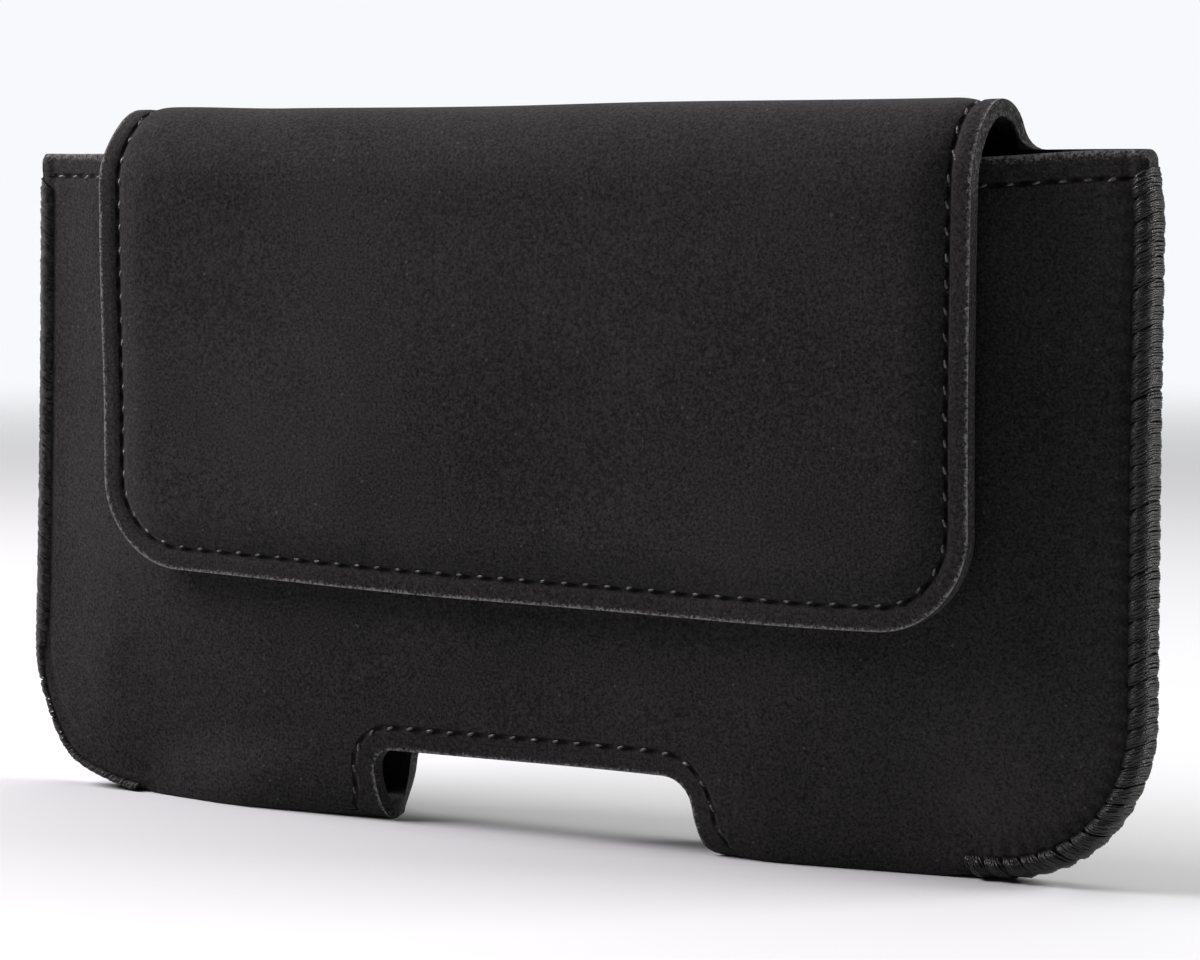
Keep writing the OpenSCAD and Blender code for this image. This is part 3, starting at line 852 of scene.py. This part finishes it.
def strandPath(side, spot, apart, stack):
    path, reach, r = [], whip["reach"], pouch["cornerRadius"]
    for face, depthAt in ((-1, frontDepth), (1, backDepth)):
        part = []
        for into, over in strandWay:
            into *= 1 - whip["shorter"][side] * float(ramp(spot - edgeStraight, -6, 14))
            slant = spot + apart * (1 - whip["gather"][side] * float(ramp(into, 1.2, 1.3)))
            lean = whip["lean"] * (into / reach) * (1 if face < 0 else whip["backLean"])
            slant += lean + dice.uniform(*whipStray["slant"])
            turn = 0 if slant < edgeStraight else min((slant - edgeStraight) / r, math.pi / 2)
            past = max(0.0, slant - edgeStraight - edgeAround)
            nx, nz = math.cos(turn), -math.sin(turn)
            x = arcX + (r - into) * nx - past
            z = arcZ + (r - into) * nz + max(0.0, edgeStraight - slant)
            depth = float(depthAt(np.float64(x * side), np.float64(z)))
            part.append((x * side, face * (depth + over + stack * (into < reach)), z))
        path += part if face < 0 else part[::-1]
    # one more point stands out in the middle, round the cut edge
    turning = len(strandWay)
    outX, _, outZ = path[turning - 1]
    push = 0.05 + stack * 0.8
    path.insert(turning, (outX + side * push * nx, 0, outZ + push * nz))
    return path


def whipEdge(side, name, finish):
    bpy.ops.curve.primitive_bezier_curve_add()
    cord = bpy.context.object
    cord.name = cord.data.name = name
    cord.data.splines.clear()
    cord.data.dimensions, cord.data.fill_mode = "3D", "FULL"
    cord.data.bevel_depth, cord.data.bevel_resolution = whip["strandRadius"] * mm, 1
    room = (edgeStraight + edgeAround - 1) / whip["pitch"]
    count = int(room + 0.7 - whip["start"][side] + whip["extra"][side])
    middle = (whip["strands"] - 1) / 2
    for k in range(count):
        bundleJitter, fat = dice.uniform(*whipStray["place"]), dice.uniform(*whipStray["width"])
        spot = (k + whip["start"][side]) * whip["pitch"] + bundleJitter
        spacing = whip["spacing"][side] - whip["cornerCloser"] * (spot > edgeStraight)
        for strand in range(whip["strands"]):
            stack = whip["cushion"][side] * (1 - ((strand - middle) / middle) ** 2)
            stack += dice.uniform(*whipStray["stack"])
            path = strandPath(side, spot, (strand - middle) * spacing * fat, stack)
            spline = cord.data.splines.new("POLY")
            spline.points.add(len(path) - 1)
            for index, place in enumerate(warp(np.array(path))):
                point, isEnd = spline.points[index], index in (0, len(path) - 1)
                point.co = (*place, 1)
                point.radius = whip["endRadius"] if isEnd else dice.uniform(*whipStray["radius"])
    pick(cord)
    bpy.ops.object.convert(target="MESH")
    cord = bpy.context.object
    cord.data.materials.clear()
    cord.data.materials.append(finish)
    bpy.ops.object.shade_smooth()
    print(name, len(cord.data.polygons), "faces")
    return cord


# a belt loop: a strap sewn on at both ends, with a box of stitches on each tab
loop = {"width": 26.0, "x": 30.0, "low": 23.0, "length": 64.0, "tab": 7.0, "rise": 9, "gap": 5.0,
        "thick": 2.0, "corner": 2.0, "round": 0.35, "clear": 0.05, "columns": 14, "pitch": 3.2,
        "seamIn": 2.2, "seamLow": 2.0, "seamHigh": 5.6, "tabRows": (0, 0.6, 1.3, 2.0, 3.5, 5.0, 6.0)}


def beltLoop(side, name, model):
    base = pouch["backBulge"] + loop["clear"]
    sewnY, tabZ = base + loop["thick"], loop["low"] + loop["tab"]
    low = [(sewnY, loop["low"] + v) for v in loop["tabRows"]]
    low += [(sewnY + loop["gap"] * float(smooth(s)), tabZ + loop["rise"] * s) for s in np.linspace(0, 1, 12)]
    mid = loop["low"] + loop["length"] / 2
    outY, topZ = low[-1]
    half = low + [(outY, z) for z in np.linspace(topZ, mid, 10)[1:-1]]
    profile = np.array(half + [(outY, mid)] + [(y, 2 * mid - z) for y, z in reversed(half)])
    count = loop["columns"]
    bpy.ops.mesh.primitive_grid_add(x_subdivisions=count, y_subdivisions=len(profile) - 1, size=1)
    strap = bpy.context.object
    strap.name = strap.data.name = name
    run = np.concatenate([[0], np.cumsum(np.hypot(*np.diff(profile, axis=0).T))])
    r = loop["corner"]
    over = np.clip(r - np.minimum(run, run[-1] - run), 0, r)
    halfWidths = loop["width"] / 2 - r + np.sqrt(np.maximum(0, r * r - over * over))
    x = np.linspace(-1, 1, count + 1)[None] * halfWidths[:, None] + side * loop["x"]
    y, z = (np.repeat(profile[:, k:k + 1], count + 1, 1) for k in (0, 1))
    setPoints(strap, warp(np.stack([x, y, z], axis=-1).reshape(-1, 3)))
    for material in (strapLeather, edgeFinish):
        strap.data.materials.append(material)
    pick(strap)
    if strap.data.polygons[5].normal.y < 0:  # its outer face looks back, away from the pouch
        bpy.ops.object.mode_set(mode="EDIT")
        bpy.ops.mesh.select_all(action="SELECT")
        bpy.ops.mesh.flip_normals()
        bpy.ops.object.mode_set(mode="OBJECT")
    wall = strap.modifiers.new("wall", "SOLIDIFY")
    wall.thickness, wall.offset, wall.material_offset_rim = loop["thick"] * mm, -1, 1
    wall.use_even_offset = True
    edgeRound = strap.modifiers.new("edge", "BEVEL")
    edgeRound.width, edgeRound.segments = loop["round"] * mm, 3
    edgeRound.angle_limit = math.radians(skin["sharpFrom"])
    applyAll(strap)
    shadeSmooth(strap)
    w = loop["width"] / 2 - loop["seamIn"]
    z0, z1 = loop["low"] + loop["seamLow"], loop["low"] + loop["seamHigh"]
    flat = evenly([(-w, z1), (-w, z0), (w, z0), (w, z1), (-w, z1)], loop["pitch"])
    sewn = []
    for word, z in (("low", flat[:, 1]), ("high", 2 * mid - flat[:, 1])):
        place = np.stack([flat[:, 0] + side * loop["x"], 0 * z + sewnY, z], axis=1)
        sewn.append(sewLine(model, strap, {"place": place}, name + "_stitches_" + word))
    return strap, sewn


def dressNodes():
    finishes = {"keeper_plate_left": steel, "keeper_plate_right": steel, "flap_magnet_left": plating,
                "flap_magnet_right": plating, "flap_stiffener": board}
    for node, finish in finishes.items():
        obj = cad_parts[node]
        obj.data.materials.clear()
        obj.data.materials.append(finish)


# a white sweep with soft light, in metres
warmWhite = (1.0, 0.97, 0.95)
studio = {"key": {"place": (-0.56, -0.22, 0.52), "size": 0.42, "power": 10, "colour": (1.0, 0.93, 0.965)},
          "fill": {"place": (0.75, -0.9, 0.35), "size": 0.9, "power": 0.1, "colour": warmWhite},
          "rim": {"place": (0.66, 0.3, 0.4), "size": 0.35, "power": 6, "colour": warmWhite},
          "top": {"place": (0.0, 0.2, 0.9), "size": 0.8, "power": 5, "colour": warmWhite}}


def makeLamps():
    target = Vector((0, 0, 0.045))
    for name, light in studio.items():
        place = Vector(light["place"])
        bpy.ops.object.light_add(type="AREA", location=place)
        lamp = bpy.context.object
        lamp.name = name + "_light"
        lamp.rotation_euler = (target - place).to_track_quat("-Z", "Y").to_euler()
        lamp.data.shape, lamp.data.size, lamp.data.energy = "SQUARE", light["size"], light["power"]
        lamp.data.color = light["colour"]


def makeFloor():
    # it fades into the background far from the pouch
    bpy.ops.mesh.primitive_plane_add(size=6)
    floor = bpy.context.object
    floor.name = "floor"
    finish = Finish("pale_floor")
    grey = finish.blend(finish.noise(3), (0.57, 0.59, 0.6), (0.585, 0.605, 0.615))
    matt = finish.add("ShaderNodeBsdfDiffuse", None, {"Color": grey})
    clear = finish.add("ShaderNodeBsdfTransparent")
    point = finish.add("ShaderNodeTexCoord", out="Object")
    far = finish.add("ShaderNodeVectorMath", {"operation": "LENGTH"}, {0: point}, out="Value")
    mixed = finish.add("ShaderNodeMixShader", None, {0: finish.fade(far, 0.45, 1.1), 1: matt, 2: clear})
    finish.tree.links.new(mixed.socket, finish.out.inputs["Surface"])
    floor.data.materials.append(finish.material)


def makeWorld():
    # a dim even light on the object, and a pale background for the camera
    world = bpy.data.worlds.new("white_room")
    bpy.context.scene.world = world
    world.use_nodes = True
    tree = world.node_tree
    tree.nodes.clear()
    out, mix = tree.nodes.new("ShaderNodeOutputWorld"), tree.nodes.new("ShaderNodeMixShader")
    path = tree.nodes.new("ShaderNodeLightPath")
    soft, plain = (tree.nodes.new("ShaderNodeBackground") for _ in range(2))
    soft.inputs[0].default_value, soft.inputs[1].default_value = (0.95, 0.97, 1.0, 1), 0.03
    plain.inputs[0].default_value, plain.inputs[1].default_value = (0.93, 0.947, 0.973, 1), 1.0
    tree.links.new(path.outputs["Is Camera Ray"], mix.inputs[0])
    tree.links.new(soft.outputs[0], mix.inputs[1])
    tree.links.new(plain.outputs[0], mix.inputs[2])
    tree.links.new(mix.outputs[0], out.inputs["Surface"])
    bpy.context.scene.view_settings.view_transform = "Standard"
    print("studio lit")


makeCamera()
outerLeather = nubuck("black_nubuck", (0.0038, 0.0036, 0.0037), (0.036, 0.0343, 0.035))
strapLeather = nubuck("black_nubuck_inner", (0.0042, 0.004, 0.0041), (0.031, 0.03, 0.0305), mapped=False)
edgeFinish = rawEdge()
fineThread = threadFinish("waxed_thread", (0.004, 0.004, 0.004), (0.06, 0.06, 0.062), 0.35, 0.7)
satinThread = threadFinish("satin_thread", (0.0008, 0.0008, 0.0008), (0.006, 0.0058, 0.0055), 0.3, 0.45)
# the left edge's thread is the same satin thread, painted lighter as painted light from the lamp on the left
satinThreadPaintedLight = threadFinish("satin_thread_painted_light", (0.004, 0.004, 0.004), (0.05, 0.0485, 0.047), 0.5, 0.3)
steel = metal("zinc_plate", (0.35, 0.35, 0.36), (0.6, 0.6, 0.6))
plating = metal("nickel_plate", (0.5, 0.48, 0.45), (0.75, 0.73, 0.7))
board = fibreBoard()

leather, lines = makeSheet("leather", 0, skin["leather"], True)
model = stitchModel(fineThread)
for line in lines:
    sewn = sewLine(model, leather, line, line["name"] + "_stitches")
    if line["side"] == "flap":
        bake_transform(sewn)
    else:
        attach(sewn, "pouch")
shellPiece, flapPiece = splitFlap(leather, "leather_shell", "leather_flap")
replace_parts(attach(shellPiece, "pouch"), "outer_shell")
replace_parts(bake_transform(flapPiece), "flap_outer")
print("leather sewn")

innerSheet, _ = makeSheet("lining", skin["leather"], skin["lining"], False)
pocketPiece, flapInside = splitFlap(innerSheet, "pocket_lining", "flap_inner_leather")
pocketPiece.data.materials.clear()
pocketPiece.data.materials.append(microfibre())
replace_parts(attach(pocketPiece, "pouch"), "shell_lining")
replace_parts(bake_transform(flapInside), "flap_lining")
print("lined")

for side, word in ((-1, "left"), (1, "right")):
    # the left edge takes the lighter copy with painted light
    edging = whipEdge(side, "edge_thread_" + word, satinThreadPaintedLight if side < 0 else satinThread)
    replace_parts(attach(edging, "pouch"), "edge_stitching_" + word)
    strap, sewn = beltLoop(side, "belt_strap_" + word, model)
    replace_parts(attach(strap, "pouch"), "belt_loop_" + word)
    for piece in sewn:
        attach(piece, "pouch")
bpy.data.objects.remove(model)
dressNodes()
makeLamps()
makeFloor()
makeWorld()
